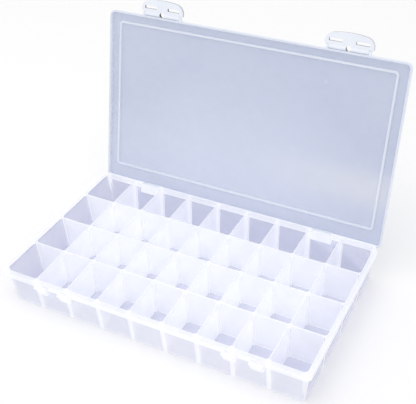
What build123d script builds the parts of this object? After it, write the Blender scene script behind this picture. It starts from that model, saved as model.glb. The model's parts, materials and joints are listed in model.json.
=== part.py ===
# Compartment organizer box with a hinged lid, two flip latches and lift-out dividers.
# Millimetres, +Z up. The origin is the middle of the tray's underside, +X to the right,
# and the latches are on the -Y side. The lid stands open, leaning back on its stops.

import os
from math import cos, radians, sin

from build123d import *

os.makedirs("parts", exist_ok=True)

# Tray: overall sizes, measured over the rim
rim_length = 275.0
front_to_back = 160.2
tray_height = 34.0
wall = 1.5
floor = 1.5
side_lean = 2.85
wall_corner_radius = 3.5
foot_edge_round = 1.0

# Rim band along the front and the sides, a plate on top with a skirt turned down
rim_overhang = 2.5
rim_band_height = 5.0
rim_plate = 1.5
rim_skirt = 1.1
rim_corner_radius = 5.0
rim_edge_chamfer = 0.4
band_back_gap = 4.0

# The back wall has no band: its upper part is thicker instead, and upright on the inside
back_rail_height = 5.7

# Rows and columns of compartments
rows = 4
columns = 9
partition_top = 1.3
partition_lean = 0.25
pocket_corner_radius = 3.0

# Lift-out cross dividers and the slots that hold them
divider_thickness = 1.1
divider_end_gap = 0.2
divider_top_gap = 0.4
divider_corner = 0.8
slot_side_gap = 0.1
slot_rib = 1.0
slot_depth = 1.8
slot_rib_top_gap = 1.0

# Lid
lid_open_angle = 103.0
lid_edge_gap = 0.1
lid_corner_radius = 5.0
lid_plate = 1.5
lid_lip = 3.0
lid_lip_wall = 1.5
lid_seat_gap = 0.1
lid_back_overhang = 0.8
lid_edge_round = 0.6
frame_side_inset = 9.4
frame_front_inset = 8.4
frame_back_inset = 14.6
frame_rib = 1.8
frame_rib_height = 1.6
frame_corner_radius = 3.4
gate_mark_radius = 2.0
gate_mark_height = 0.3
gate_mark_across = 70.0
gate_mark_inset = 27.45

# Lid hinges: a moulded bar across a pocket in the back wall, held by an open clip on the lid.
# Each stands in one column, counted out from the middle one, a little inward of the column's middle
hinge_column = 3
hinge_inward = 3.0
hinge_bar_radius = 1.2
hinge_bore_gap = 0.06
hinge_clip_wall = 1.1
hinge_clip_width = 16.0
hinge_clip_mouth = 1.9
hinge_neck_above_axis = 0.5
hinge_pocket_side_gap = 0.5
hinge_pocket_gap = 0.3
hinge_pocket_wall = 1.2
hinge_pocket_height = 9.0
hinge_drop = 2.8
hinge_bar_grip = 0.6

# Stop brackets beside each pocket, where the back edge of the open lid comes to rest
stop_width = 5.0
stop_depth = 4.6
stop_height = 7.0
stop_gap = 0.08
stop_edge = 1.5

# Latches, their ears and pins on the lid, and the hooks that they snap over
latch_spacing = 170.0
latch_width = 41.0
latch_side_height = 12.2
latch_length = 14.8
latch_corner_radius = 8.0
latch_plate = 1.8
latch_rim = 1.4
latch_rim_height = 0.5
latch_barrel_radius = 1.6
latch_barrel_length = 33.6
latch_axis_ahead = 1.8
latch_pin_radius = 0.9
latch_pin_length = 5.0
latch_pin_gap = 0.06
latch_bore_end_gap = 0.5
latch_ear = 1.8
latch_ear_gap = 0.2
latch_heel_gap = 0.08
latch_root_gap = 0.5
latch_eye_radius = 2.3
latch_eye_from_lid = 2.3
slot_spacing = 22.6
latch_slot_width = 11.6
latch_slot_near = 6.5
latch_slot_height = 2.5
latch_slot_corner = 0.6
hook_side_gap = 0.45
hook_end_gap = 0.35
hook_reach = 0.6
hook_lead = 0.8
hook_block_width = 12.0
hook_block_drop = 11.5
hook_block_round = 3.0
hook_block_root = 1.2

# How far a piece that is added runs into the piece that carries it
weld = 0.3

# Derived sizes of the tray
half_rim = rim_length / 2
front_edge = -front_to_back / 2
back_edge = front_to_back / 2
outer_half_top = half_rim - rim_overhang
outer_front_top = front_edge + rim_overhang
inner_half_top = outer_half_top - wall
inner_front_top = outer_front_top + wall
inner_back_top = back_edge - wall
tray_middle = (outer_front_top + back_edge) / 2
outer_depth_top = back_edge - outer_front_top
band_bottom = tray_height - rim_band_height
lean_per_height = side_lean / tray_height
row_pitch = (inner_back_top - inner_front_top) / rows
column_pitch = 2 * inner_half_top / columns
stations = columns - 1
slot_rib_top = tray_height - slot_rib_top_gap
back_rail_bottom = tray_height - back_rail_height
divider_top = tray_height - divider_top_gap


def lean(height):
    """How far a wall stands in, at this height, from where it is at the rim."""
    return lean_per_height * (tray_height - height)


def row_edges(row, height):
    """Front and back faces of one row of compartments, at this height."""
    widening = partition_lean * (tray_height - height) / tray_height
    front = inner_front_top + row * row_pitch + partition_top / 2 + widening
    back = inner_front_top + (row + 1) * row_pitch - partition_top / 2 - widening
    if row == 0:
        front = inner_front_top + lean(height)
    if row == rows - 1:
        back = inner_back_top - lean(min(height, back_rail_bottom))
    return front, back


# Places of the dividers and of the slot ribs on either side of each
station_places = [column_pitch * (station - (stations - 1) / 2) for station in range(stations)]
rib_shift = divider_thickness / 2 + slot_side_gap
rib_starts = [place + rib_shift for place in station_places]
rib_starts += [place - rib_shift - slot_rib for place in station_places]

# Lid hinge, and a plane that lies along the open lid and faces into the tray:
# its X is the tray's X, its Y runs up the lid from the hinge axis
axis_y = back_edge - wall / 2
axis_z = tray_height - hinge_drop
hinge_spacing = 2 * (hinge_column * column_pitch - hinge_inward)
hinge_places = [-hinge_spacing / 2, hinge_spacing / 2]
clip_radius = hinge_bar_radius + hinge_bore_gap + hinge_clip_wall
pocket_width = hinge_clip_width + 2 * hinge_pocket_side_gap
pocket_floor = tray_height - hinge_pocket_height + hinge_pocket_wall
pocket_front = axis_y - clip_radius - hinge_pocket_gap
lid_rear = back_edge + lid_back_overhang - axis_y
lid_reach = axis_y - front_edge
lid_half = half_rim - lid_edge_gap
lip_edge = hinge_drop + lid_seat_gap
plate_inside = lip_edge + lid_lip
plate_outside = plate_inside + lid_plate
lid_up = Vector(0, -cos(radians(lid_open_angle)), sin(radians(lid_open_angle)))
lid_in = Vector(0, -lid_up.Z, lid_up.Y)
hinge_axis = Vector(0, axis_y, axis_z)
lid_plane = Plane(origin=hinge_axis, x_dir=(1, 0, 0), z_dir=lid_in)
lid_middle = (lid_reach - lid_rear) / 2
lid_depth = lid_reach + lid_rear
gate_mark_up = lid_reach - gate_mark_inset

# Latch hinge, and a plane that lies through each open latch
latch_places = [-latch_spacing / 2, latch_spacing / 2]
latch_axis_out = (lip_edge + plate_outside) / 2
latch_axis_up = lid_reach + latch_axis_ahead
latch_axis = hinge_axis + lid_up * latch_axis_up - lid_in * latch_axis_out
latch_axis_z = axis_z + latch_axis_out
latch_root = latch_barrel_radius + latch_root_gap
latch_tip = latch_length - latch_axis_ahead
latch_shoulder = latch_side_height - latch_axis_ahead
slot_middle = latch_slot_near - latch_axis_ahead + latch_slot_height / 2
closed_latch_face = front_edge - latch_axis_ahead - latch_plate / 2
hook_top = latch_axis_z - (latch_slot_near - latch_axis_ahead) - hook_end_gap
hook_bottom = hook_top - latch_slot_height + 2 * hook_end_gap
hook_width = latch_slot_width - 2 * hook_side_gap
hook_point = closed_latch_face - hook_reach
hook_places = [place + side * slot_spacing / 2 for place in latch_places for side in (-1, 1)]


def tray_outline(height):
    """Outer outline of the tray's walls at this height."""
    inward = lean(height)
    with Locations((0, tray_middle)):
        RectangleRounded(2 * (outer_half_top - inward), outer_depth_top - 2 * inward, wall_corner_radius)


# Tray: drafted walls, rim band, four rows, divider slots, hinge bars and latch hooks
with BuildPart() as base_tray:
    # Rim band with its hollow underside
    band_depth = back_edge - band_back_gap - front_edge
    band_middle = front_edge + band_depth / 2
    with BuildSketch(Plane.XY.offset(band_bottom)):
        with Locations((0, band_middle)):
            RectangleRounded(rim_length, band_depth, rim_corner_radius)
    extrude(amount=rim_band_height)
    chamfer(base_tray.faces().sort_by(Axis.Z)[-1].edges(), rim_edge_chamfer)
    with BuildSketch(Plane.XY.offset(band_bottom)):
        with Locations((0, band_middle)):
            RectangleRounded(
                rim_length - 2 * rim_skirt, band_depth - 2 * rim_skirt, rim_corner_radius - rim_skirt
            )
    extrude(amount=rim_band_height - rim_plate, mode=Mode.SUBTRACT)

    # Drafted body inside the band
    with BuildSketch(Plane.XY):
        tray_outline(0)
    with BuildSketch(Plane.XY.offset(tray_height)):
        tray_outline(tray_height)
    loft()
    fillet(base_tray.faces().sort_by(Axis.Z)[0].edges(), foot_edge_round)

    # Four long rows, with fixed partitions left standing between them
    for row in range(rows):
        levels = [floor, tray_height] if row < rows - 1 else [floor, back_rail_bottom, tray_height]
        for low, high in zip(levels, levels[1:]):
            for height in (low, high):
                front, back = row_edges(row, height)
                inward = lean(height)
                with BuildSketch(Plane.XY.offset(height)):
                    with Locations((0, (front + back) / 2)):
                        RectangleRounded(2 * (inner_half_top - inward), back - front, pocket_corner_radius)
            loft(mode=Mode.SUBTRACT)

    # Pairs of ribs that hold the ends of each divider
    for row in range(rows):
        front_low, back_low = row_edges(row, floor)
        front_high, back_high = row_edges(row, slot_rib_top)
        back_rail = row_edges(row, back_rail_bottom)[1]
        with BuildSketch(*[Plane.YZ.offset(start) for start in rib_starts]):
            with BuildLine():
                Polyline(
                    (front_low - weld, floor - weld),
                    (front_low + slot_depth, floor - weld),
                    (front_high + slot_depth, slot_rib_top),
                    (front_high - weld, slot_rib_top),
                    close=True,
                )
            make_face()
            with BuildLine():
                Polyline(
                    (back_low + weld, floor - weld),
                    (back_low - slot_depth, floor - weld),
                    (back_rail - slot_depth, back_rail_bottom),
                    (back_high - slot_depth, slot_rib_top),
                    (back_high + weld, slot_rib_top),
                    (back_rail + weld, back_rail_bottom),
                    close=True,
                )
            make_face()
        extrude(amount=slot_rib)

    # Hinge pockets: a hollow block on the inside of the back wall, open at the top and the back,
    # each crossed by a hinge bar
    block_width = pocket_width + 2 * hinge_pocket_wall
    block_front = pocket_front - hinge_pocket_wall
    block_floor = pocket_floor - hinge_pocket_wall
    with BuildSketch(*[Plane.YZ.offset(place - block_width / 2) for place in hinge_places]):
        with BuildLine():
            Polyline(
                (block_front, block_floor),
                (inner_back_top - lean(block_floor) + weld, block_floor),
                (inner_back_top + weld, tray_height),
                (block_front, tray_height),
                close=True,
            )
        make_face()
    extrude(amount=block_width)
    with BuildSketch(*[Plane.YZ.offset(place - pocket_width / 2) for place in hinge_places]):
        with Locations(((pocket_front + back_edge + wall) / 2, (pocket_floor + tray_height + wall) / 2)):
            Rectangle(back_edge + wall - pocket_front, tray_height + wall - pocket_floor)
    extrude(amount=pocket_width, mode=Mode.SUBTRACT)
    bar_length = pocket_width + 2 * hinge_bar_grip
    with BuildSketch(*[Plane.YZ.offset(place - bar_length / 2) for place in hinge_places]):
        with Locations((axis_y, axis_z)):
            Circle(hinge_bar_radius)
    extrude(amount=bar_length)

    # Stop brackets on the outside of the back wall
    stop_top = hinge_axis - lid_up * (lid_rear + stop_gap)
    bracket_back = back_edge + stop_depth
    slope = lid_up.Y / lid_up.Z
    bracket_top = stop_top.Z - (bracket_back - stop_top.Y) * slope
    wall_y = back_edge - wall / 2
    wall_top = stop_top.Z - (wall_y - stop_top.Y) * slope
    stop_starts = [place + side * (block_width + stop_width) / 2 - stop_width / 2
                   for place in hinge_places for side in (-1, 1)]
    with BuildSketch(*[Plane.YZ.offset(start) for start in stop_starts]):
        with BuildLine():
            Polyline(
                (wall_y - lean(bracket_top), wall_top),
                (bracket_back, bracket_top),
                (bracket_back, bracket_top - stop_edge),
                (wall_y - lean(bracket_top - stop_height), bracket_top - stop_height),
                close=True,
            )
        make_face()
    extrude(amount=stop_width)

    # Hooks under the front band: a block with a rounded lower edge, and a nose for the latch slot
    block_top = band_bottom + rim_band_height / 2
    block_bottom = tray_height - hook_block_drop
    with BuildSketch(Plane.XZ.offset(-front_edge)) as hook_blocks:
        with Locations(*[(place, (block_top + block_bottom) / 2) for place in hook_places]):
            Rectangle(hook_block_width, block_top - block_bottom)
        fillet(hook_blocks.vertices().group_by(Axis.Y)[0], hook_block_round)
    extrude(amount=-(rim_overhang + hook_block_root))
    with BuildSketch(*[Plane.YZ.offset(place - hook_width / 2) for place in hook_places]):
        with BuildLine():
            Polyline(
                (front_edge + weld, hook_top),
                (hook_point + hook_lead, hook_top),
                (hook_point, hook_top - hook_lead),
                (hook_point, hook_bottom),
                (front_edge + weld, hook_bottom),
                close=True,
            )
        make_face()
    extrude(amount=hook_width)

base_tray.part.label = "base_tray"
export_step(base_tray.part, "parts/base_tray.step")

# Hinged lid: plate, turned-in lip, stiffening frame, hinge clips, latch ears and pins
with BuildPart() as hinged_lid:
    with BuildSketch(lid_plane.offset(-plate_outside)):
        with Locations((0, lid_middle)):
            RectangleRounded(2 * lid_half, lid_depth, lid_corner_radius)
    extrude(amount=plate_outside - lip_edge)
    outer_face = hinged_lid.faces().sort_by(Axis(hinge_axis, lid_in))[0]
    fillet(outer_face.edges(), lid_edge_round)
    with BuildSketch(lid_plane.offset(-plate_inside)):
        with Locations((0, lid_middle)):
            RectangleRounded(
                2 * (lid_half - lid_lip_wall), lid_depth - 2 * lid_lip_wall, lid_corner_radius - lid_lip_wall
            )
    extrude(amount=lid_lip, mode=Mode.SUBTRACT)

    # Raised stiffening frame on the inside
    frame_front = lid_reach - frame_front_inset
    frame_back = frame_back_inset - lid_rear
    frame_half = lid_half - frame_side_inset
    with BuildSketch(lid_plane.offset(-plate_inside - weld)):
        with Locations((0, (frame_front + frame_back) / 2)):
            RectangleRounded(2 * frame_half, frame_front - frame_back, frame_corner_radius)
            RectangleRounded(
                2 * (frame_half - frame_rib),
                frame_front - frame_back - 2 * frame_rib,
                frame_corner_radius - frame_rib,
                mode=Mode.SUBTRACT,
            )
    extrude(amount=frame_rib_height + weld)

    # Round gate mark inside the frame
    with BuildSketch(lid_plane.offset(-plate_inside - weld)):
        with Locations((gate_mark_across, gate_mark_up)):
            Circle(gate_mark_radius)
    extrude(amount=gate_mark_height + weld)

    # Open clips that turn on the hinge bars
    clip_starts = [place - hinge_clip_width / 2 for place in hinge_places]
    clip_planes = [Plane(origin=hinge_axis + Vector(start, 0, 0), x_dir=lid_up, z_dir=(1, 0, 0))
                   for start in clip_starts]
    with BuildSketch(*clip_planes):
        Circle(clip_radius)
        with Locations(((hinge_neck_above_axis - lid_rear) / 2, -(plate_inside + weld) / 2)):
            Rectangle(hinge_neck_above_axis + lid_rear, plate_inside + weld)
        Circle(hinge_bar_radius + hinge_bore_gap, mode=Mode.SUBTRACT)
        with Locations((0, clip_radius)):
            Rectangle(hinge_clip_mouth, 2 * clip_radius, mode=Mode.SUBTRACT)
    extrude(amount=hinge_clip_width)

    # Ears on the front edge, each with a stub pin for a latch
    ear_inside = latch_barrel_length / 2 + latch_ear_gap
    for place in latch_places:
        for side in (-1, 1):
            ear_start = place + side * (ear_inside + latch_ear / 2) - latch_ear / 2
            ear_plane = Plane(origin=latch_axis + Vector(ear_start, 0, 0), x_dir=lid_up, z_dir=(1, 0, 0))
            with BuildSketch(ear_plane):
                Circle(latch_barrel_radius)
                with Locations((-(latch_axis_ahead + weld) / 2, 0)):
                    Rectangle(latch_axis_ahead + weld, 2 * latch_barrel_radius)
            extrude(amount=latch_ear)
            pin_plane = Plane(
                origin=latch_axis + Vector(place + side * (ear_inside + weld), 0, 0), z_dir=(-side, 0, 0)
            )
            with BuildSketch(pin_plane):
                Circle(latch_pin_radius)
            extrude(amount=latch_ear_gap + latch_pin_length + weld)

hinged_lid.part.label = "hinged_lid"
export_step(hinged_lid.part, "parts/hinged_lid.step")


# Face of a latch: straight sides, a long shallow arc across the tip, and two rounded corners
with BuildSketch() as latch_face:
    half_latch = latch_width / 2
    with BuildLine():
        tip = ThreePointArc((half_latch, latch_shoulder), (0, latch_tip), (-half_latch, latch_shoulder))
        Polyline(tip @ 1, (-half_latch, latch_root), (half_latch, latch_root), tip @ 0)
    make_face()
    fillet(latch_face.vertices().group_by(Axis.Y)[-1], latch_corner_radius)


def make_latch(name, place):
    """One flip latch: a rounded plate with two slots and an eye, on a barrel with two bores."""
    with BuildPart() as latch:
        latch_plane = Plane(
            origin=latch_axis + Vector(place, 0, 0), x_dir=(1, 0, 0), z_dir=lid_in
        )
        with BuildSketch(latch_plane.offset(-latch_plate / 2)):
            add(latch_face.sketch)
            with Locations((0, latch_root / 2)):
                Rectangle(latch_barrel_length, latch_root + weld)
        extrude(amount=latch_plate)

        # Raised border on the outer face
        with BuildSketch(latch_plane.offset(-latch_plate / 2 - latch_rim_height)):
            add(latch_face.sketch)
            offset(amount=-latch_rim, mode=Mode.SUBTRACT)
        extrude(amount=latch_rim_height + weld)

        # Barrel with a square heel that bears on the lid when the latch is fully open
        barrel_plane = Plane(
            origin=latch_axis + Vector(place - latch_barrel_length / 2, 0, 0), x_dir=lid_up, z_dir=(1, 0, 0)
        )
        heel = latch_axis_ahead - latch_heel_gap
        with BuildSketch(barrel_plane):
            Circle(latch_barrel_radius)
            with Locations((-heel / 2, -latch_barrel_radius / 2)):
                Rectangle(heel, latch_barrel_radius)
        extrude(amount=latch_barrel_length)

        # Bores for the stub pins, open at each end of the barrel
        bore_depth = latch_pin_length + latch_bore_end_gap
        for side in (-1, 1):
            bore_plane = Plane(
                origin=latch_axis + Vector(place + side * latch_barrel_length / 2, 0, 0), z_dir=(-side, 0, 0)
            )
            with BuildSketch(bore_plane):
                Circle(latch_pin_radius + latch_pin_gap)
            extrude(amount=bore_depth, mode=Mode.SUBTRACT)

        # Two slots for the hooks, and the eye between them
        with BuildSketch(latch_plane.offset(-latch_width)):
            with Locations((-slot_spacing / 2, slot_middle), (slot_spacing / 2, slot_middle)):
                RectangleRounded(latch_slot_width, latch_slot_height, latch_slot_corner)
            with Locations((0, latch_eye_from_lid - latch_axis_ahead)):
                Circle(latch_eye_radius)
        extrude(amount=2 * latch_width, mode=Mode.SUBTRACT)
    latch.part.label = name
    export_step(latch.part, "parts/" + name + ".step")


make_latch("left_latch", latch_places[0])
make_latch("right_latch", latch_places[1])


def make_divider(name, place, row):
    """One lift-out divider, which follows the lean of the walls at its two ends."""
    with BuildPart() as divider:
        front_low, back_low = row_edges(row, floor)
        front_high, back_high = row_edges(row, divider_top)
        back_rail = row_edges(row, back_rail_bottom)[1]
        with BuildSketch(Plane.YZ.offset(place - divider_thickness / 2)) as outline:
            with BuildLine():
                Polyline(
                    (back_low - divider_end_gap, floor),
                    (back_rail - divider_end_gap, back_rail_bottom),
                    (back_high - divider_end_gap, divider_top),
                    (front_high + divider_end_gap, divider_top),
                    (front_low + divider_end_gap, floor),
                    close=True,
                )
            make_face()
            corners = outline.vertices().group_by(Axis.Z)
            chamfer(corners[0] + corners[-1], divider_corner)
        extrude(amount=divider_thickness)
    divider.part.label = name
    export_step(divider.part, "parts/" + name + ".step")


for row in range(rows):
    for station in range(stations):
        make_divider(f"divider_row{row + 1}_slot{station + 1}", station_places[station], row)
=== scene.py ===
# Compartment organizer box: the look of its moulded plastic, around the fixed frame.
import json
from math import cos, radians, sin

import bmesh
import bpy
import numpy as np
from mathutils import Matrix, Vector


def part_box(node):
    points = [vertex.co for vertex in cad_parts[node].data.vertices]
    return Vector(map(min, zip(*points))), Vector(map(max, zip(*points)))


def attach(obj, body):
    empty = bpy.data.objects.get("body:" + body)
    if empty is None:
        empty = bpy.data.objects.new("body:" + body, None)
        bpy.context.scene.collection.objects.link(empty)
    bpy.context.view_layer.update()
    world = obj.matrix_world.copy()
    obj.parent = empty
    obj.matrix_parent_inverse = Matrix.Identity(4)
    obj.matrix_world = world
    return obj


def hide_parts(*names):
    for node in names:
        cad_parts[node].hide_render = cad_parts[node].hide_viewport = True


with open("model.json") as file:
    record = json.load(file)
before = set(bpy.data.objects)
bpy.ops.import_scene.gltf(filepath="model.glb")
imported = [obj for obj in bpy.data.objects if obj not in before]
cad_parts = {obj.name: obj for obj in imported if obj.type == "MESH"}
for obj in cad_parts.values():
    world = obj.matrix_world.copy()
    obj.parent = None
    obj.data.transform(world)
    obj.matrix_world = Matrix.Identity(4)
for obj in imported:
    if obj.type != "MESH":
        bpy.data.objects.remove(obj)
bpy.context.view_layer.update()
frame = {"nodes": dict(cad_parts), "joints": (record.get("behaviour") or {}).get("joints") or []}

bl_info = {
    "name": "Compartment organizer box",
    "version": (1, 0, 0),
    "blender": (4, 5, 0),
    "location": "View3D > Sidebar > Organizer",
    "description": "Finishes a clear plastic organizer box and lights it in a small studio",
    "category": "Object",
}

MM = 0.001

# The tray, in mm. The walls are given at the rim; they lean in towards the floor.
TRAY_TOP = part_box("base_tray")[1].z / MM
FLOOR = 1.5
FLOOR_MARGIN = 0.1
WALL = 1.5
SIDE_LEAN = 2.85
INNER_FRONT, INNER_BACK, INNER_HALF = -76.1, 78.6, 133.5
ROWS, COLUMNS = 4, 9
STATIONS = COLUMNS - 1
ROW_PITCH = (INNER_BACK - INNER_FRONT) / ROWS
COLUMN_PITCH = 2 * INNER_HALF / COLUMNS

# The open lid and the right latch, in mm: their axes, and the lid's directions up its slope and
# out of its inner face
JOINTS = {joint["name"]: joint for joint in frame["joints"]}
LID_AXIS = np.array(JOINTS["lid_hinge"]["pos_m"]) / MM
LATCH_AXIS = np.array(JOINTS["right_latch_hinge"]["pos_m"]) / MM
LID_TILT = radians(-JOINTS["lid_hinge"]["range_deg"][0])
LID_UP = np.array([0, -cos(LID_TILT), sin(LID_TILT)])
LID_IN = np.array([0, -LID_UP[2], LID_UP[1]])

# Cosines that a face's normal is held against: it looks that way, is square on, or is a side
LOOKS_THERE, SQUARE_ON, SIDEWAYS = 0.5, 0.9, 0.3

# The camera, solved from edges measured in the photograph. Its turn is an axis times an angle in
# radians, from a level view along +Y. Its place and focal length are in mm.
CAMERA_TURN = Vector((0.631903668, 0.462252883, 0.118714304))
CAMERA_PLACE = Vector((259.490, -436.980, 463.059))
CAMERA_LENS = 68.543
CAMERA_SENSOR = 36
CAMERA_SHIFT = (-0.0201, 0.00767)

# The lamp aims at the origin. These are in metres.
LAMP_PLACE = Vector((-0.2, -0.3, 1.6))
LAMP_SIZE = 1.2


def color_setting(label, words, default):
    """A colour property."""
    return bpy.props.FloatVectorProperty(
        name=label, description=words, subtype="COLOR", size=3, min=0, max=1, default=default)


def share_setting(label, words, default):
    """A property from 0 to 1."""
    return bpy.props.FloatProperty(
        name=label, description=words, subtype="FACTOR", min=0, max=1, default=default)


def length_setting(label, words, default):
    """A length property."""
    return bpy.props.FloatProperty(
        name=label, description=words, unit="LENGTH", min=0, default=default)


class OrganizerPlastic(bpy.types.PropertyGroup):
    """Colours and finish of the moulded plastic."""

    shell_color: color_setting(
        "Shell colour", "Colour of the clear outer walls and the floor", (0.60, 0.62, 0.81))
    inner_color: color_setting(
        "Inner colour", "Colour of the milky partitions and ribs", (0.97, 0.975, 0.995))
    lid_color: color_setting(
        "Lid colour", "Colour of the lid's clear panel at the latches", (0.505, 0.57, 0.76))
    # Painted light: the panel is painted paler towards the hinges
    lid_low_painted_color: color_setting(
        "Lid low colour", "Colour of the lid's clear panel at the hinges", (0.68, 0.735, 0.90))
    lid_edge_color: color_setting(
        "Lid edge colour", "Colour of the lid's lip and frame", (0.91, 0.945, 1.0))
    # Painted highlight: the rounded edges of the tray and the dividers are painted bright, standing
    # in for light the plastic carries to its edges
    edge_highlight_color: color_setting(
        "Edge colour", "Colour of the bright moulded edges", (0.95, 0.96, 0.985))
    latch_color: color_setting(
        "Latch colour", "Colour of the white latches", (0.89, 0.92, 0.99))
    # Painted shade: the dark colour painted on the walls of the latches' slots and eye, and mixed
    # into their narrow sides
    painted_shade_color: color_setting(
        "Shade colour", "Colour inside the slots of the latches", (0.03, 0.03, 0.04))
    shell_cover: share_setting(
        "Shell cover", "How much one surface of the outer shell hides", 0.42)
    inner_cover: share_setting(
        "Inner cover", "How much one surface of a partition hides", 0.66)
    lid_cover: share_setting(
        "Lid cover", "How much one surface of the lid's panel hides", 0.54)
    divider_cover: share_setting(
        "Divider cover", "How much one surface of a divider hides", 0.50)
    edge_cover: share_setting(
        "Edge cover", "How much a moulded edge hides", 0.92)
    # Painted glow: emission that stands in for light the milky plastic scatters inside its walls
    painted_glow: share_setting(
        "Glow", "Light that milky plastic scatters on inside its walls", 0.11)
    cloud: share_setting(
        "Cloudiness", "Unevenness of the milky plastic", 0.12)
    roughness: share_setting(
        "Roughness", "Roughness of the satin surface", 0.34)


class OrganizerEdges(bpy.types.PropertyGroup):
    """Rounding of the moulded edges."""

    tray_radius: length_setting("Tray edges", "Rounding of the tray's edges", 0.30 * MM)
    lid_radius: length_setting("Lid edges", "Rounding of the lid's edges", 0.30 * MM)
    latch_radius: length_setting("Latch edges", "Rounding of the latches' edges", 0.22 * MM)
    divider_radius: length_setting("Divider edges", "Rounding of the dividers' edges", 0.28 * MM)


class OrganizerStudio(bpy.types.PropertyGroup):
    """Light and floor of the studio."""

    sky: bpy.props.FloatProperty(
        name="Sky", description="Strength of the even light from all sides", min=0, default=0.86)
    key: bpy.props.FloatProperty(
        name="Key light", description="Power of the soft lamp overhead", unit="POWER", min=0,
        default=5)
    floor_color: color_setting("Floor colour", "Colour of the plain floor", (0.95, 0.95, 0.955))


def plastic():
    """The plastic's settings."""
    return bpy.context.scene.organizer_plastic


def edges():
    """The edge settings."""
    return bpy.context.scene.organizer_edges


# Node trees

class Sheet:
    """A node tree with short calls that add nodes and join them."""

    def __init__(self, tree):
        self.tree = tree

    def add(self, kind, **settings):
        """A new node. A setting is one of its properties, one of its inputs by name, or i0, i1
        and so on, which are its inputs by number."""
        node = self.tree.nodes.new(kind)
        own = [key for key in settings if hasattr(node, key)]
        for key in own:
            setattr(node, key, settings[key])
        for key, value in settings.items():
            if key not in own:
                numbered = key[0] == "i" and key[1:].isdigit()
                self.feed(node.inputs[int(key[1:]) if numbered else key], value)
        return node

    def feed(self, socket, value):
        """Sets a socket to a value or joins another socket to it."""
        if isinstance(value, bpy.types.NodeSocket):
            self.tree.links.new(value, socket)
        else:
            socket.default_value = value

    def math(self, operation, first, second=0.0, clamp=False):
        """Result of one sum on one or two values."""
        node = self.add("ShaderNodeMath", operation=operation, use_clamp=clamp,
                        i0=first, i1=second)
        return node.outputs[0]

    def mix(self, share, first, second):
        """Mix of two values."""
        node = self.add("ShaderNodeMix", data_type="FLOAT", i0=share, i2=first, i3=second)
        return node.outputs[0]

    def mix_color(self, share, first, second, blend_type="MIX"):
        """Mix of two colours."""
        node = self.add("ShaderNodeMix", data_type="RGBA", blend_type=blend_type,
                        i0=share, i6=first, i7=second)
        return node.outputs[2]

    def ramp(self, value, low, high, start=0.0, end=1.0):
        """Smooth step from start, at the low value, to end, at the high one."""
        node = self.add("ShaderNodeMapRange", interpolation_type="SMOOTHSTEP",
                        i0=value, i1=low, i2=high, i3=start, i4=end)
        return node.outputs[0]

    def noise(self, place, size, detail, roughness=0.5):
        """Noise with size cells per metre: its outputs, first the value, then the colour."""
        node = self.add("ShaderNodeTexNoise", Vector=place, Scale=size, Detail=detail,
                        Roughness=roughness)
        return node.outputs


def make_group(name, inputs, outputs):
    """An empty shader node group with these sockets: its sheet and the sockets' inner ends."""
    group = bpy.data.node_groups.new(name, "ShaderNodeTree")
    kinds = {"value": "NodeSocketFloat", "color": "NodeSocketColor", "vector": "NodeSocketVector"}
    for label, kind in inputs:
        group.interface.new_socket(label, in_out="INPUT", socket_type=kinds[kind])
    for label, kind in outputs:
        group.interface.new_socket(label, in_out="OUTPUT", socket_type=kinds[kind])
    sheet = Sheet(group)
    return sheet, sheet.add("NodeGroupInput").outputs, sheet.add("NodeGroupOutput").inputs


FINE_SHARE = 0.3
FINE_TIMES = 5.0
CLOUD_RANGE = (0.32, 0.68)


def cloud_group():
    """Slow unevenness of milky plastic: broad noise mixed with a share of one that is five times
    finer, with the middle of its range stretched to run from 0 to 1."""
    sheet, given, result = make_group(
        "milky_clouds", [("Place", "vector"), ("Size", "value")], [("Cloud", "value")])
    broad = sheet.noise(given["Place"], given["Size"], 3.0, 0.45)
    fine_size = sheet.math("MULTIPLY", given["Size"], FINE_TIMES)
    fine = sheet.noise(given["Place"], fine_size, 2.0)
    total = sheet.mix(FINE_SHARE, broad[0], fine[0])
    sheet.feed(result["Cloud"], sheet.ramp(total, *CLOUD_RANGE))
    return sheet.tree


# The patterns of the satin surface, in cells per metre. The scuffs' bend is in metres and their
# width is a share of a cell.
GRAIN_CELLS, PATCH_CELLS, WAVE_CELLS, BEND_CELLS, SCUFF_CELLS = 900.0, 26.0, 34.0, 18.0, 140.0
SCUFF_BEND = 0.05
SCUFF_WIDTH = 0.012
SCUFFED_PATCHES = (0.52, 0.66)
PATCH_ROUGHNESS, SCUFF_ROUGHNESS = 0.25, 0.2
GRAIN_HEIGHT = 0.02


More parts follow.
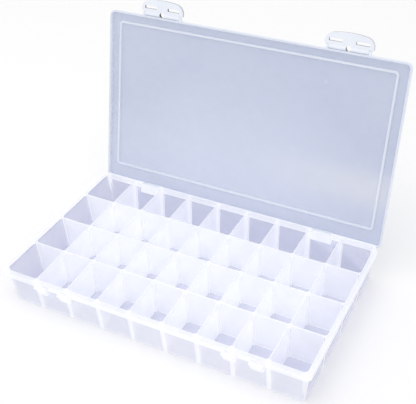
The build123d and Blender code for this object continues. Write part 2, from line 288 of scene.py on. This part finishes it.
def satin_group():
    """Satin surface of moulded plastic: slow waves and fine grain as height, and patches and a few
    thin scuffs as roughness.

    The scuffs are the bent borders of Voronoi cells, and show in some of the patches only."""
    sheet, given, result = make_group(
        "satin_surface",
        [("Place", "vector"), ("Base Roughness", "value"), ("Scuffing", "value"),
         ("Waviness", "value")],
        [("Roughness", "value"), ("Height", "value"), ("Scuffs", "value")])
    grain = sheet.noise(given["Place"], GRAIN_CELLS, 2.0, 0.6)[0]
    patches = sheet.noise(given["Place"], PATCH_CELLS, 3.0)[0]
    wave = sheet.noise(given["Place"], WAVE_CELLS, 1.0, 0.4)[0]
    bend = sheet.noise(given["Place"], BEND_CELLS, 2.0)[1]
    bent = sheet.add("ShaderNodeVectorMath", operation="MULTIPLY_ADD",
                     i0=bend, i1=(SCUFF_BEND,) * 3, i2=given["Place"]).outputs[0]
    border = sheet.add("ShaderNodeTexVoronoi", feature="DISTANCE_TO_EDGE",
                       Vector=bent, Scale=SCUFF_CELLS).outputs[0]
    line = sheet.ramp(border, 0.0, SCUFF_WIDTH, 1.0, 0.0)
    here = sheet.ramp(patches, *SCUFFED_PATCHES)
    scuffs = sheet.math("MULTIPLY", sheet.math("MULTIPLY", line, here), given["Scuffing"])
    spread = sheet.math("MULTIPLY", sheet.math("SUBTRACT", patches, 0.5), PATCH_ROUGHNESS)
    rough = sheet.math("ADD", sheet.math("ADD", given["Base Roughness"], spread),
                       sheet.math("MULTIPLY", scuffs, SCUFF_ROUGHNESS), clamp=True)
    height = sheet.math("ADD", sheet.math("MULTIPLY", wave, given["Waviness"]),
                        sheet.math("MULTIPLY", grain, GRAIN_HEIGHT))
    sheet.feed(result["Roughness"], rough)
    sheet.feed(result["Height"], height)
    sheet.feed(result["Scuffs"], scuffs)
    return sheet.tree


DENSE_TINT = (0.86, 0.88, 0.93, 1)
SCUFF_COVER = 0.05


def body_group():
    """Colour, cover and glow of plastic that goes from clear to milky.

    Where a cloud is strong the plastic hides more and is paler, and where it is weak the plastic
    hides less and takes a grey tint. Scuffs hide a little more. The glow is a painted glow,
    emission that stands in for light scattered inside the plastic, in its own colour, times its
    milkiness."""
    sheet, given, result = make_group(
        "plastic_body",
        [("Milkiness", "value"), ("Clear Color", "color"), ("Milky Color", "color"),
         ("Clear Cover", "value"), ("Milky Cover", "value"), ("Cloud", "value"),
         ("Cloudiness", "value"), ("Scuffs", "value")],
        [("Color", "color"), ("Cover", "value"), ("Glow", "color")])
    color = sheet.mix_color(given["Milkiness"], given["Clear Color"], given["Milky Color"])
    swing = sheet.math("MULTIPLY", sheet.math("SUBTRACT", given["Cloud"], 0.5),
                       given["Cloudiness"])
    cover = sheet.mix(given["Milkiness"], given["Clear Cover"], given["Milky Cover"])
    cover = sheet.math("ADD", cover, swing)
    cover = sheet.math("ADD", cover, sheet.math("MULTIPLY", given["Scuffs"], SCUFF_COVER),
                       clamp=True)
    paler = sheet.math("MULTIPLY", given["Cloud"], given["Cloudiness"])
    color = sheet.mix_color(paler, color, given["Milky Color"])
    denser = sheet.math("MULTIPLY", sheet.math("SUBTRACT", 1.0, given["Cloud"]),
                        given["Cloudiness"])
    color = sheet.mix_color(denser, color, DENSE_TINT, "MULTIPLY")
    sheet.feed(result["Color"], color)
    sheet.feed(result["Cover"], cover)
    sheet.feed(result["Glow"], sheet.mix_color(given["Milkiness"], (0, 0, 0, 1), color))
    return sheet.tree


GROUPS = {}


def shared_group(name):
    """One of the shared node groups, which are built when the first of them is asked for."""
    if not GROUPS:
        GROUPS.update(clouds=cloud_group(), satin=satin_group(), body=body_group())
    return GROUPS[name]


def place_group(sheet, name, **feeds):
    """A shared node group in this sheet, with its inputs fed by name: its outputs."""
    node = sheet.add("ShaderNodeGroup")
    node.node_tree = shared_group(name)
    for key, value in feeds.items():
        sheet.feed(node.inputs[key.replace("_", " ")], value)
    return node.outputs


WAVINESS = 0.25
BUMP = 0.12
BUMP_DISTANCE = 1.0 * MM
REFRACTION = 1.49


def plastic_material(name, clear, milky, clear_cover, milky_cover, milkiness, cloud_size=9.0,
                     cloudiness=None, roughness=None, scuffing=0.15, painted_glow=0.0, opaque=False):
    """Moulded plastic that goes from a clear colour and cover to a milky one.

    milkiness and clear are values, or functions that make them from the sheet and the place.
    The cloudiness and the roughness are those of the settings unless they are given."""
    material = bpy.data.materials.new(name)
    material.use_nodes = True
    sheet = Sheet(material.node_tree)
    shader = material.node_tree.nodes["Principled BSDF"].inputs
    place = sheet.add("ShaderNodeTexCoord").outputs["Object"]
    if callable(milkiness):
        milkiness = milkiness(sheet, place)
    clear = clear(sheet, place) if callable(clear) else (*clear, 1)
    clouds = place_group(sheet, "clouds", Place=place, Size=cloud_size)
    satin = place_group(
        sheet, "satin", Place=place, Scuffing=scuffing, Waviness=WAVINESS,
        Base_Roughness=plastic().roughness if roughness is None else roughness)
    body = place_group(
        sheet, "body", Milkiness=milkiness, Clear_Color=clear, Milky_Color=(*milky, 1),
        Clear_Cover=clear_cover, Milky_Cover=milky_cover, Cloud=clouds["Cloud"],
        Cloudiness=plastic().cloud if cloudiness is None else cloudiness,
        Scuffs=satin["Scuffs"])
    surface = sheet.add("ShaderNodeBump", Strength=BUMP, Distance=BUMP_DISTANCE,
                        Height=satin["Height"])
    sheet.feed(shader["Base Color"], body["Color"])
    if not opaque:
        sheet.feed(shader["Alpha"], body["Cover"])
    sheet.feed(shader["Roughness"], satin["Roughness"])
    sheet.feed(shader["Normal"], surface.outputs[0])
    # Painted glow: emission in the plastic's colour, standing in for light scattered inside it
    if painted_glow:
        sheet.feed(shader["Emission Color"], body["Glow"])
        sheet.feed(shader["Emission Strength"], painted_glow)
    sheet.feed(shader["IOR"], REFRACTION)
    return material


def from_faces(sheet, place):
    """Milkiness that is kept on the faces."""
    return sheet.add("ShaderNodeAttribute", attribute_name="milkiness").outputs["Fac"]


# How far the white bars reach from the middle of a slot or a partition, in mm: all white up to the
# first length, and gone at the second
SLOT_BAR = (1.7, 2.5)
PARTITION_BAR = (0.9, 1.6)
WALL_REACH = 3.0


def tray_thickness(sheet, place):
    """Milkiness of the tray: that of its faces, and white bars where ribs and partitions stand
    behind a wall, and partitions on the floor.

    The distance to the nearest slot is half a pitch less the distance to the nearest column's
    middle, and the distance to the nearest partition repeats with the rows."""
    axes = sheet.add("ShaderNodeSeparateXYZ", Vector=place).outputs
    half_column = COLUMN_PITCH / 2 * MM
    half_row = ROW_PITCH / 2 * MM
    to_slot = sheet.math("SUBTRACT", half_column, sheet.math("PINGPONG", axes[0], half_column))
    from_front = sheet.math("SUBTRACT", axes[1], INNER_FRONT * MM)
    to_partition = sheet.math("PINGPONG", from_front, half_row)
    slots = sheet.ramp(to_slot, SLOT_BAR[0] * MM, SLOT_BAR[1] * MM, 1.0, 0.0)
    partitions = sheet.ramp(to_partition, PARTITION_BAR[0] * MM, PARTITION_BAR[1] * MM, 1.0, 0.0)
    at_front = sheet.math("LESS_THAN", axes[1], (INNER_FRONT + WALL_REACH) * MM)
    at_back = sheet.math("GREATER_THAN", axes[1], (INNER_BACK - WALL_REACH) * MM)
    at_side = sheet.math("GREATER_THAN", sheet.math("ABSOLUTE", axes[0]),
                         (INNER_HALF - WALL_REACH) * MM)
    at_floor = sheet.math("LESS_THAN", axes[2], (FLOOR + FLOOR_MARGIN) * MM)
    slots = sheet.math("MULTIPLY", slots, sheet.math("ADD", at_front, at_back))
    partitions = sheet.math("MULTIPLY", partitions, sheet.math("MAXIMUM", at_side, at_floor))
    behind = sheet.math("MAXIMUM", slots, partitions)
    return sheet.math("MAXIMUM", behind, from_faces(sheet, place))


# The lid's tones, in mm, which paint light: paler towards the hinges, and a warm band that is a
# painted reflection. Heights run up the slope of the lid from the frame's origin.
TONE_HEIGHTS = (60, 195)
TONE_SIDES = (40, 125)
SIDE_TONE = 0.45
BAND_HEIGHT = 96
BAND_FADE = (4, 24)
BAND_ACROSS = (-30, 120)
BAND_SHARE = 0.32
# Colour of the painted reflection band
REFLECTION_BAND_COLOR = (0.93, 0.91, 0.90, 1)


def lid_tone(sheet, place):
    """Colour of the lid's panel: from the paler low colour at the hinges, which is painted light,
    to the lid's own colour at the latches, reached sooner at the sides, with a soft warm band low
    on the right, which is a painted reflection."""
    look = plastic()
    upward = sheet.add("ShaderNodeVectorMath", operation="DOT_PRODUCT",
                       i0=place, i1=tuple(LID_UP)).outputs[1]
    across = sheet.add("ShaderNodeSeparateXYZ", Vector=place).outputs[0]
    outer = sheet.ramp(sheet.math("ABSOLUTE", across), TONE_SIDES[0] * MM, TONE_SIDES[1] * MM,
                       0.0, SIDE_TONE)
    high = sheet.math("ADD", sheet.ramp(upward, TONE_HEIGHTS[0] * MM, TONE_HEIGHTS[1] * MM),
                      outer, clamp=True)
    tone = sheet.mix_color(high, (*look.lid_low_painted_color, 1), (*look.lid_color, 1))
    side = sheet.ramp(across, BAND_ACROSS[0] * MM, BAND_ACROSS[1] * MM)
    off_band = sheet.math("ABSOLUTE", sheet.math("SUBTRACT", upward, BAND_HEIGHT * MM))
    warm = sheet.ramp(off_band, BAND_FADE[0] * MM, BAND_FADE[1] * MM, BAND_SHARE, 0.0)
    return sheet.mix_color(sheet.math("MULTIPLY", side, warm), tone, REFLECTION_BAND_COLOR)


# Meshes

MERGE_DISTANCE = 0.0005 * MM
FLAT_ANGLE = radians(0.5)
SHARP_ANGLE = radians(38)
FACE_WEIGHT = 80


def moulded_copy(node, name, radius, materials, milkiness=None):
    """The node's mesh, merged and freed of flat edges, with its sharp edges rounded by a bevel.

    milkiness(centres, normals) gives a value for each face, which is kept as an attribute.
    A second material is put on the rounded edges, where it paints a highlight."""
    source = frame["nodes"][node]
    shape = bmesh.new()
    shape.from_mesh(source.data)
    bmesh.ops.remove_doubles(shape, verts=shape.verts, dist=MERGE_DISTANCE)
    bmesh.ops.dissolve_limit(shape, angle_limit=FLAT_ANGLE, verts=shape.verts, edges=shape.edges)
    mesh = bpy.data.meshes.new(name)
    shape.to_mesh(mesh)
    shape.free()
    for material in materials:
        mesh.materials.append(material)
    count = len(mesh.polygons)
    mesh.polygons.foreach_set("use_smooth", np.ones(count, dtype=bool))
    if milkiness:
        centres = np.empty(count * 3)
        normals = np.empty(count * 3)
        mesh.polygons.foreach_get("center", centres)
        mesh.polygons.foreach_get("normal", normals)
        values = milkiness(centres.reshape(-1, 3), normals.reshape(-1, 3))
        kept = mesh.attributes.new("milkiness", "FLOAT", "FACE")
        kept.data.foreach_set("value", values.astype(np.float32))
    piece = bpy.data.objects.new(name, mesh)
    bpy.context.scene.collection.objects.link(piece)
    bevel = piece.modifiers.new("rounded edges", "BEVEL")
    bevel.width = radius
    bevel.segments = 2
    bevel.limit_method = "ANGLE"
    bevel.angle_limit = SHARP_ANGLE
    if len(materials) > 1:
        bevel.material = len(materials) - 1
    even = piece.modifiers.new("even shading", "WEIGHTED_NORMAL")
    even.keep_sharp = True
    even.weight = FACE_WEIGHT
    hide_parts(node)
    return piece


def near(values, targets, width):
    """True where a value is within width of any of the targets."""
    return (np.abs(values[:, None] - np.asarray(targets)[None, :]) < width).any(axis=1)


# Where the tray's mouldings are, in mm, and how milky its outer walls are: painted shade, darker on
# the left than on the right, and lightest at the front
PARTITION_REACH = 1.6
RIB_REACH = 2.2
INSIDE_MARGIN = 0.4
OUTSIDE_MARGIN = 0.3
SIDE_ZONE, FRONT_ZONE, BACK_ZONE = 128, -72, 73
BAND_LOW = 20
RIM_HEIGHT = 0.2
RAIL_HEIGHT, RAIL_FRONT = 5.8, 77.0
POCKET_ACROSS, POCKET_REACH, POCKET_LOW, POCKET_FRONT = 86.0, 10.5, 24.5, 75.0
LEFT_SHADE_MILK, RIGHT_SHADE_MILK, FRONT_SHADE_MILK = 0.10, 0.35, 0.78


def tray_milkiness(centres, normals):
    """1 on the underside, partitions, ribs, rail, rims and hinge pockets, a part of it on the outer
    faces of the walls, and 0 on the other faces. The white rims are a painted highlight, and the
    outer faces are painted shade, darker on the left than on the right and the front.

    The front wall and the sides stand at their places at the rim less the lean, which grows
    evenly from the rim down to the underside."""
    x, y, z = centres.T / MM
    aside = np.abs(x)
    stations = COLUMN_PITCH * (np.arange(STATIONS) - (STATIONS - 1) / 2)
    partitions = INNER_FRONT + ROW_PITCH * np.arange(1, ROWS)
    lean = SIDE_LEAN / TRAY_TOP * (TRAY_TOP - z)
    above_floor = z > FLOOR + FLOOR_MARGIN
    underside = (z < FLOOR - FLOOR_MARGIN) & (np.abs(normals[:, 2]) > SQUARE_ON)
    inside = ((aside < INNER_HALF + INSIDE_MARGIN) & (y > INNER_FRONT - INSIDE_MARGIN)
              & (y < INNER_BACK + INSIDE_MARGIN))
    outside = ((aside > INNER_HALF + WALL - lean + OUTSIDE_MARGIN)
               | (y < INNER_FRONT - WALL + lean - OUTSIDE_MARGIN)
               | (y > INNER_BACK + WALL + OUTSIDE_MARGIN))
    facing_front = (normals[:, 1] < -LOOKS_THERE) & (y < FRONT_ZONE)
    facing_back = (normals[:, 1] > LOOKS_THERE) & (y > BACK_ZONE)
    facing_aside = (normals[:, 0] * np.sign(x) > LOOKS_THERE) & (aside > SIDE_ZONE)
    facing_out = facing_front | facing_back | facing_aside
    milky = np.where(underside, 1.0, 0.0)
    milky[near(y, partitions, PARTITION_REACH) & above_floor] = 1.0
    milky[near(aside, np.abs(stations), RIB_REACH) & above_floor & inside] = 1.0
    # Painted shade: the outer faces are painted darker on the left than on the right, and lightest
    # at the front
    milky[facing_out] = np.where(x[facing_out] > 0, RIGHT_SHADE_MILK, LEFT_SHADE_MILK)
    milky[facing_front] = FRONT_SHADE_MILK
    milky[outside & (z > BAND_LOW)] = 1.0
    # Painted highlight: the rim's top is painted milky white
    milky[z > TRAY_TOP - RIM_HEIGHT] = 1.0
    milky[(z > TRAY_TOP - RAIL_HEIGHT) & (y > RAIL_FRONT)] = 1.0
    milky[(z > POCKET_LOW) & (y > POCKET_FRONT) & near(aside, [POCKET_ACROSS], POCKET_REACH)] = 1.0
    return milky


# The lid, in mm from its hinge axis: the level that parts its panel from what stands proud of it,
# the field that holds the stiffening frame, and the gate mark
PANEL_LEVEL = -5.86
FIELD_HALF, FIELD_LOW, FIELD_HIGH = 130, 10, 153
MARK_ACROSS, MARK_UP, MARK_REACH = 70, 132, 4
FRAME_MILK, MARK_MILK = 0.75, 0.15


def lid_milkiness(centres, normals):
    """1 on the lip and small mouldings, less on the stiffening frame, a little on the gate mark
    and 0 on the panel."""
    across = centres[:, 0] / MM
    local = centres / MM - LID_AXIS
    upward, depth = local @ LID_UP, local @ LID_IN
    proud = depth > PANEL_LEVEL
    in_field = (np.abs(across) < FIELD_HALF) & (upward > FIELD_LOW) & (upward < FIELD_HIGH)
    on_mark = near(across, [MARK_ACROSS], MARK_REACH) & near(upward, [MARK_UP], MARK_REACH)
    milky = np.ones(len(centres))
    milky[in_field & proud] = FRAME_MILK
    milky[~proud & (np.abs(normals @ LID_IN) > SQUARE_ON)] = 0.0
    milky[on_mark & proud] = MARK_MILK
    return milky


# A latch, in mm from its axis and its middle: its slots, its eye and where its sides begin. The
# walls of the slots and the eye, and the narrow sides, take painted shade.
SLOT_ACROSS, SLOT_HALF, SLOT_UP, SLOT_TALL = 11.3, 6.2, 5.95, 1.6
EYE_UP, EYE_REACH = 0.5, 2.6
SIDES_LOW = 2.0
SIDES_SHADED_MILK = 0.45


def latch_milkiness(centres, normals):
    """1 on the broad faces of a latch, less on its narrow sides, and 0 on the walls of its slots
    and its eye, which mixes in painted shade: the sides are partly shaded and the walls fully."""
    sides = np.abs(normals @ LID_IN) < SIDEWAYS
    across = np.abs(np.abs(centres[:, 0] / MM) - LATCH_AXIS[0])
    upward = (centres / MM - LATCH_AXIS) @ LID_UP
    in_slot = (np.abs(across - SLOT_ACROSS) < SLOT_HALF) & (np.abs(upward - SLOT_UP) < SLOT_TALL)
    in_eye = np.hypot(across, upward - EYE_UP) < EYE_REACH
    milky = np.ones(len(centres))
    # Painted shade: the narrow sides are partly and the walls of the slots and the eye fully in the
    # painted shade colour
    milky[sides & (upward > SIDES_LOW)] = SIDES_SHADED_MILK
    milky[sides & (in_slot | in_eye)] = 0.0
    return milky


# Operators

class FinishTray(bpy.types.Operator):
    """Finishes the tray: clear outer walls and floor, milky partitions and painted highlights on
    its rims and edges
    """

    bl_idname = "organizer.finish_tray"
    bl_label = "Tray"

    def execute(self, context):
        look = plastic()
        body = plastic_material("tray_plastic", look.shell_color, look.inner_color,
                                look.shell_cover, look.inner_cover, tray_thickness,
                                painted_glow=look.painted_glow)
        # The rounded edges take a painted highlight
        bright = plastic_material("tray_edge_highlight", look.shell_color, look.edge_highlight_color,
                                  look.shell_cover, look.edge_cover, 1.0)
        tray = moulded_copy("base_tray", "tray_moulding", edges().tray_radius, [body, bright],
                            tray_milkiness)
        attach(tray, "tray")
        return {"FINISHED"}


class FinishLid(bpy.types.Operator):
    """Finishes the lid: a clear clouded panel with a bright lip and stiffening frame"""

    bl_idname = "organizer.finish_lid"
    bl_label = "Lid"

    def execute(self, context):
        look = plastic()
        body = plastic_material("lid_plastic", lid_tone, look.lid_edge_color, look.lid_cover,
                                look.edge_cover, from_faces, cloud_size=5.0, scuffing=0.0)
        lid = moulded_copy("hinged_lid", "lid_moulding", edges().lid_radius, [body],
                           lid_milkiness)
        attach(lid, "lid")
        return {"FINISHED"}


class FinishLatches(bpy.types.Operator):
    """Finishes the two flip latches in solid white, with painted shade on the walls of their slots
    and eye and on their narrow sides
    """

    bl_idname = "organizer.finish_latches"
    bl_label = "Latches"

    def execute(self, context):
        look = plastic()
        # The clear colour is the painted shade, which the faces' milkiness puts in the slots, the
        # eye and on the sides
        white = plastic_material("latch_plastic", look.painted_shade_color, look.latch_color, 1.0, 1.0,
                                 from_faces, cloud_size=60.0, cloudiness=0.35, roughness=0.3,
                                 opaque=True)
        for side in ("left", "right"):
            latch = moulded_copy(side + "_latch", side + "_latch_moulding",
                                 edges().latch_radius, [white], latch_milkiness)
            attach(latch, "latch_" + side)
        return {"FINISHED"}


# How much more painted glow the dividers get than the tray
DIVIDER_PAINTED_GLOW = 1.3


class FinishDividers(bpy.types.Operator):
    """Finishes the lift-out dividers in milky plastic with painted highlights on their edges"""

    bl_idname = "organizer.finish_dividers"
    bl_label = "Dividers"

    def execute(self, context):
        look = plastic()
        body = plastic_material("divider_plastic", look.inner_color, look.inner_color,
                                look.divider_cover, look.divider_cover, 1.0,
                                painted_glow=DIVIDER_PAINTED_GLOW * look.painted_glow)
        # The rounded edges take a painted highlight
        bright = plastic_material("divider_edge_highlight", look.edge_highlight_color, look.edge_highlight_color,
                                  look.edge_cover, look.edge_cover, 1.0)
        for node in frame["nodes"]:
            if node.startswith("divider_"):
                divider = moulded_copy(node, node + "_moulding", edges().divider_radius,
                                       [body, bright])
                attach(divider, node + "_body")
        return {"FINISHED"}


class BuildStudio(bpy.types.Operator):
    """Sets up the camera at the photograph's angle, the plain floor and the soft light"""

    bl_idname = "organizer.build_studio"
    bl_label = "Studio"

    def execute(self, context):
        scene = context.scene
        studio = scene.organizer_studio
        scene.view_settings.view_transform = "Standard"
        scene.cycles.transparent_max_bounces = 48
        scene.cycles.diffuse_bounces = 8
        self.add_camera(scene)
        self.add_floor(scene, studio)
        self.add_sky(scene, studio)
        self.add_lamp(scene, studio)
        return {"FINISHED"}

    def add_camera(self, scene):
        """Camera from its place and its turn. The level view's rows are the directions to the
        right, down and ahead, and a camera's columns are those to the right, up and back."""
        level = Matrix(((1, 0, 0), (0, 0, -1), (0, 1, 0)))
        view = Matrix.Rotation(CAMERA_TURN.length, 3, CAMERA_TURN.normalized()) @ level
        pose = Matrix((view[0], -view[1], -view[2])).transposed().to_4x4()
        pose.translation = CAMERA_PLACE * MM
        data = bpy.data.cameras.new("camera")
        data.sensor_width = CAMERA_SENSOR
        data.lens = CAMERA_LENS
        data.shift_x, data.shift_y = CAMERA_SHIFT
        camera = bpy.data.objects.new("camera", data)
        camera.matrix_world = pose
        scene.collection.objects.link(camera)
        scene.camera = camera

    def seen_share(self, sheet):
        """1 for rays that show the background to the camera, straight on, in a reflection or
        through plastic, and 0 for the others."""
        path = sheet.add("ShaderNodeLightPath").outputs
        total = sheet.math("ADD", path["Is Camera Ray"], path["Is Glossy Ray"])
        return sheet.math("ADD", total, path["Is Transmission Ray"], clamp=True)

    def add_floor(self, scene, studio):
        """Large plain floor just under the tray, which the camera sees as white."""
        reach, level = 12.0, -0.2 * MM
        corners = [(-reach, -reach, level), (reach, -reach, level),
                   (reach, reach, level), (-reach, reach, level)]
        mesh = bpy.data.meshes.new("floor")
        mesh.from_pydata(corners, [], [(0, 1, 2, 3)])
        floor = bpy.data.objects.new("floor", mesh)
        scene.collection.objects.link(floor)
        material = bpy.data.materials.new("floor")
        material.use_nodes = True
        sheet = Sheet(material.node_tree)
        shader = material.node_tree.nodes["Principled BSDF"].inputs
        seen = self.seen_share(sheet)
        sheet.feed(shader["Base Color"],
                   sheet.mix_color(seen, (*studio.floor_color, 1), (1, 1, 1, 1)))
        sheet.feed(shader["Roughness"], 0.8)
        mesh.materials.append(material)

    def add_sky(self, scene, studio):
        """Even white light from all sides."""
        world = bpy.data.worlds.new("studio")
        world.use_nodes = True
        sheet = Sheet(world.node_tree)
        background = world.node_tree.nodes["Background"].inputs
        sheet.feed(background["Color"], (1, 1, 1, 1))
        sheet.feed(background["Strength"], sheet.mix(self.seen_share(sheet), studio.sky, 1.0))
        scene.world = world

    def add_lamp(self, scene, studio):
        """Square soft lamp overhead, aimed at the origin."""
        light = bpy.data.lights.new("key_lamp", "AREA")
        light.shape = "SQUARE"
        light.size = LAMP_SIZE
        light.energy = studio.key
        lamp = bpy.data.objects.new("key_lamp", light)
        scene.collection.objects.link(lamp)
        lamp.location = LAMP_PLACE
        lamp.rotation_euler = (-LAMP_PLACE).to_track_quat("-Z", "Y").to_euler()


class OrganizerPanel(bpy.types.Panel):
    """Lists the settings and the steps in the sidebar of the 3D view"""

    bl_idname = "VIEW3D_PT_organizer"
    bl_label = "Organizer box"
    bl_space_type = "VIEW_3D"
    bl_region_type = "UI"
    bl_category = "Organizer"

    def draw(self, context):
        layout = self.layout
        scene = context.scene
        for group in (scene.organizer_plastic, scene.organizer_edges, scene.organizer_studio):
            column = layout.column(align=True)
            for key in group.__annotations__:
                column.prop(group, key)
        for operator in STEPS:
            layout.operator(operator.bl_idname)


STEPS = (FinishTray, FinishLid, FinishLatches, FinishDividers, BuildStudio)
CLASSES = (OrganizerPlastic, OrganizerEdges, OrganizerStudio, *STEPS, OrganizerPanel)


def register():
    """Adds the settings, the steps and the panel to Blender."""
    for item in CLASSES:
        bpy.utils.register_class(item)
    bpy.types.Scene.organizer_plastic = bpy.props.PointerProperty(type=OrganizerPlastic)
    bpy.types.Scene.organizer_edges = bpy.props.PointerProperty(type=OrganizerEdges)
    bpy.types.Scene.organizer_studio = bpy.props.PointerProperty(type=OrganizerStudio)


def unregister():
    """Takes them out again."""
    del bpy.types.Scene.organizer_studio
    del bpy.types.Scene.organizer_edges
    del bpy.types.Scene.organizer_plastic
    for item in reversed(CLASSES):
        bpy.utils.unregister_class(item)


def main():
    """Runs every step in order."""
    register()
    bpy.ops.organizer.finish_tray()
    bpy.ops.organizer.finish_lid()
    bpy.ops.organizer.finish_latches()
    bpy.ops.organizer.finish_dividers()
    bpy.ops.organizer.build_studio()


if __name__ == "__main__":
    main()
